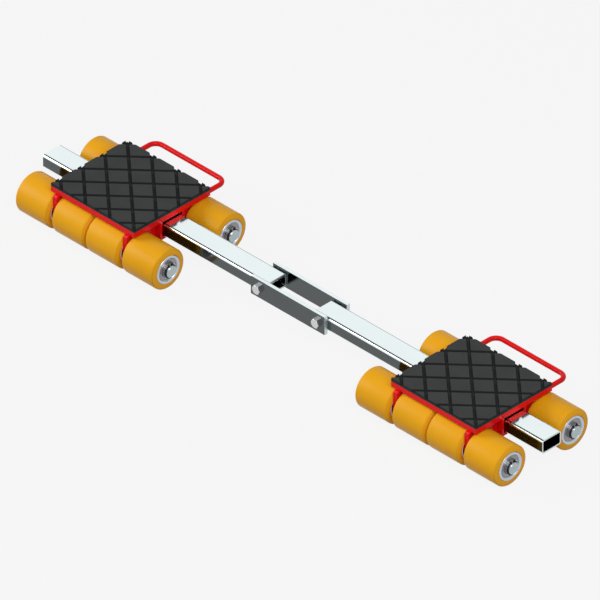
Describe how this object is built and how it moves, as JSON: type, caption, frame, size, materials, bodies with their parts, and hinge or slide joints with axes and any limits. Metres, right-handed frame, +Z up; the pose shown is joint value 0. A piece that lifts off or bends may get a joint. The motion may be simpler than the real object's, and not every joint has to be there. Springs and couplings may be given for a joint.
{
  "type": "machine skate",
  "caption": "Pair of roller skates for moving heavy machines: rubber-topped decks on wide yellow rollers, each sliding on its own hollow bar, the bars bolted together in the middle.",
  "frame": {"origin": "on the floor under the middle of the whole part's box, midway between the two skates", "axes": "+X along the line of the bars to the right skate, +Y across to the carry handles, +Z up from the floor"},
  "size_m": [1.324, 0.29, 0.1065],
  "materials": {
    "red_paint": "gloss enamel",
    "black_rubber": "matt moulded rubber",
    "yellow_polyurethane": "satin cast polyurethane",
    "hub_steel": "turned steel",
    "bearing_steel": "ground steel",
    "axle_steel": "ground steel",
    "spring_steel": "black phosphated spring steel",
    "zinc_plate": "bright zinc plate",
    "bolt_zinc": "bright zinc plate"
  },
  "bodies": {
    "link": {"front_link_plate": "zinc_plate", "rear_link_plate": "zinc_plate", "link_bolts": "bolt_zinc", "link_nuts": "bolt_zinc"},
    "left_rail": {"left_bar": "zinc_plate"},
    "left_skate": {"left_top_plate": "red_paint", "left_outboard_web": "red_paint", "left_inboard_web": "red_paint", "left_guide_channel": "red_paint", "left_grip_mat": "black_rubber", "left_carry_handle": "red_paint", "left_front_axle": "axle_steel", "left_rear_axle": "axle_steel", "left_spacer_rings": "zinc_plate", "left_retaining_rings": "spring_steel", "left_bearing_inner_rings": "bearing_steel"},
    "right_rail": {"right_bar": "zinc_plate"},
    "right_skate": {"right_top_plate": "red_paint", "right_outboard_web": "red_paint", "right_inboard_web": "red_paint", "right_guide_channel": "red_paint", "right_grip_mat": "black_rubber", "right_carry_handle": "red_paint", "right_front_axle": "axle_steel", "right_rear_axle": "axle_steel", "right_spacer_rings": "zinc_plate", "right_retaining_rings": "spring_steel", "right_bearing_inner_rings": "bearing_steel"},
    "left_front_roller_1": {"left_front_tyre_1": "yellow_polyurethane", "left_front_hub_1": "hub_steel"},
    "left_front_roller_2": {"left_front_tyre_2": "yellow_polyurethane", "left_front_hub_2": "hub_steel"},
    "left_front_roller_3": {"left_front_tyre_3": "yellow_polyurethane", "left_front_hub_3": "hub_steel"},
    "left_front_roller_4": {"left_front_tyre_4": "yellow_polyurethane", "left_front_hub_4": "hub_steel"},
    "left_rear_roller_1": {"left_rear_tyre_1": "yellow_polyurethane", "left_rear_hub_1": "hub_steel"},
    "left_rear_roller_2": {"left_rear_tyre_2": "yellow_polyurethane", "left_rear_hub_2": "hub_steel"},
    "left_rear_roller_3": {"left_rear_tyre_3": "yellow_polyurethane", "left_rear_hub_3": "hub_steel"},
    "left_rear_roller_4": {"left_rear_tyre_4": "yellow_polyurethane", "left_rear_hub_4": "hub_steel"},
    "right_front_roller_1": {"right_front_tyre_1": "yellow_polyurethane", "right_front_hub_1": "hub_steel"},
    "right_front_roller_2": {"right_front_tyre_2": "yellow_polyurethane", "right_front_hub_2": "hub_steel"},
    "right_front_roller_3": {"right_front_tyre_3": "yellow_polyurethane", "right_front_hub_3": "hub_steel"},
    "right_front_roller_4": {"right_front_tyre_4": "yellow_polyurethane", "right_front_hub_4": "hub_steel"},
    "right_rear_roller_1": {"right_rear_tyre_1": "yellow_polyurethane", "right_rear_hub_1": "hub_steel"},
    "right_rear_roller_2": {"right_rear_tyre_2": "yellow_polyurethane", "right_rear_hub_2": "hub_steel"},
    "right_rear_roller_3": {"right_rear_tyre_3": "yellow_polyurethane", "right_rear_hub_3": "hub_steel"},
    "right_rear_roller_4": {"right_rear_tyre_4": "yellow_polyurethane", "right_rear_hub_4": "hub_steel"}
  },
  "joints": [
    {"name": "left_fold", "type": "hinge", "parent": "link", "child": "left_rail", "pos_m": [-0.078, -0.01975, 0.069], "axis": [0, 1, 0], "range_deg": [-30, 90]},
    {"name": "left_slide", "type": "slide", "parent": "left_rail", "child": "left_skate", "axis": [-1, 0, 0], "range_m": [-0.16, 0.1]},
    {"name": "left_front_spin_1", "type": "hinge", "parent": "left_skate", "child": "left_front_roller_1", "pos_m": [-0.5944, -0.10245, 0.0425], "axis": [1, 0, 0], "continuous": true},
    {"name": "left_front_spin_2", "type": "hinge", "parent": "left_skate", "child": "left_front_roller_2", "pos_m": [-0.497, -0.10245, 0.0425], "axis": [1, 0, 0], "continuous": true},
    {"name": "left_front_spin_3", "type": "hinge", "parent": "left_skate", "child": "left_front_roller_3", "pos_m": [-0.407, -0.10245, 0.0425], "axis": [1, 0, 0], "continuous": true},
    {"name": "left_front_spin_4", "type": "hinge", "parent": "left_skate", "child": "left_front_roller_4", "pos_m": [-0.3096, -0.10245, 0.0425], "axis": [1, 0, 0], "continuous": true},
    {"name": "left_rear_spin_1", "type": "hinge", "parent": "left_skate", "child": "left_rear_roller_1", "pos_m": [-0.5944, 0.06295, 0.0425], "axis": [1, 0, 0], "continuous": true},
    {"name": "left_rear_spin_2", "type": "hinge", "parent": "left_skate", "child": "left_rear_roller_2", "pos_m": [-0.497, 0.06295, 0.0425], "axis": [1, 0, 0], "continuous": true},
    {"name": "left_rear_spin_3", "type": "hinge", "parent": "left_skate", "child": "left_rear_roller_3", "pos_m": [-0.407, 0.06295, 0.0425], "axis": [1, 0, 0], "continuous": true},
    {"name": "left_rear_spin_4", "type": "hinge", "parent": "left_skate", "child": "left_rear_roller_4", "pos_m": [-0.3096, 0.06295, 0.0425], "axis": [1, 0, 0], "continuous": true},
    {"name": "right_fold", "type": "hinge", "parent": "link", "child": "right_rail", "pos_m": [0.078, -0.01975, 0.069], "axis": [0, -1, 0], "range_deg": [-30, 90]},
    {"name": "right_slide", "type": "slide", "parent": "right_rail", "child": "right_skate", "axis": [1, 0, 0], "range_m": [-0.16, 0.1]},
    {"name": "right_front_spin_1", "type": "hinge", "parent": "right_skate", "child": "right_front_roller_1", "pos_m": [0.3096, -0.10245, 0.0425], "axis": [1, 0, 0], "continuous": true},
    {"name": "right_front_spin_2", "type": "hinge", "parent": "right_skate", "child": "right_front_roller_2", "pos_m": [0.407, -0.10245, 0.0425], "axis": [1, 0, 0], "continuous": true},
    {"name": "right_front_spin_3", "type": "hinge", "parent": "right_skate", "child": "right_front_roller_3", "pos_m": [0.497, -0.10245, 0.0425], "axis": [1, 0, 0], "continuous": true},
    {"name": "right_front_spin_4", "type": "hinge", "parent": "right_skate", "child": "right_front_roller_4", "pos_m": [0.5944, -0.10245, 0.0425], "axis": [1, 0, 0], "continuous": true},
    {"name": "right_rear_spin_1", "type": "hinge", "parent": "right_skate", "child": "right_rear_roller_1", "pos_m": [0.3096, 0.06295, 0.0425], "axis": [1, 0, 0], "continuous": true},
    {"name": "right_rear_spin_2", "type": "hinge", "parent": "right_skate", "child": "right_rear_roller_2", "pos_m": [0.407, 0.06295, 0.0425], "axis": [1, 0, 0], "continuous": true},
    {"name": "right_rear_spin_3", "type": "hinge", "parent": "right_skate", "child": "right_rear_roller_3", "pos_m": [0.497, 0.06295, 0.0425], "axis": [1, 0, 0], "continuous": true},
    {"name": "right_rear_spin_4", "type": "hinge", "parent": "right_skate", "child": "right_rear_roller_4", "pos_m": [0.5944, 0.06295, 0.0425], "axis": [1, 0, 0], "continuous": true}
  ]
}
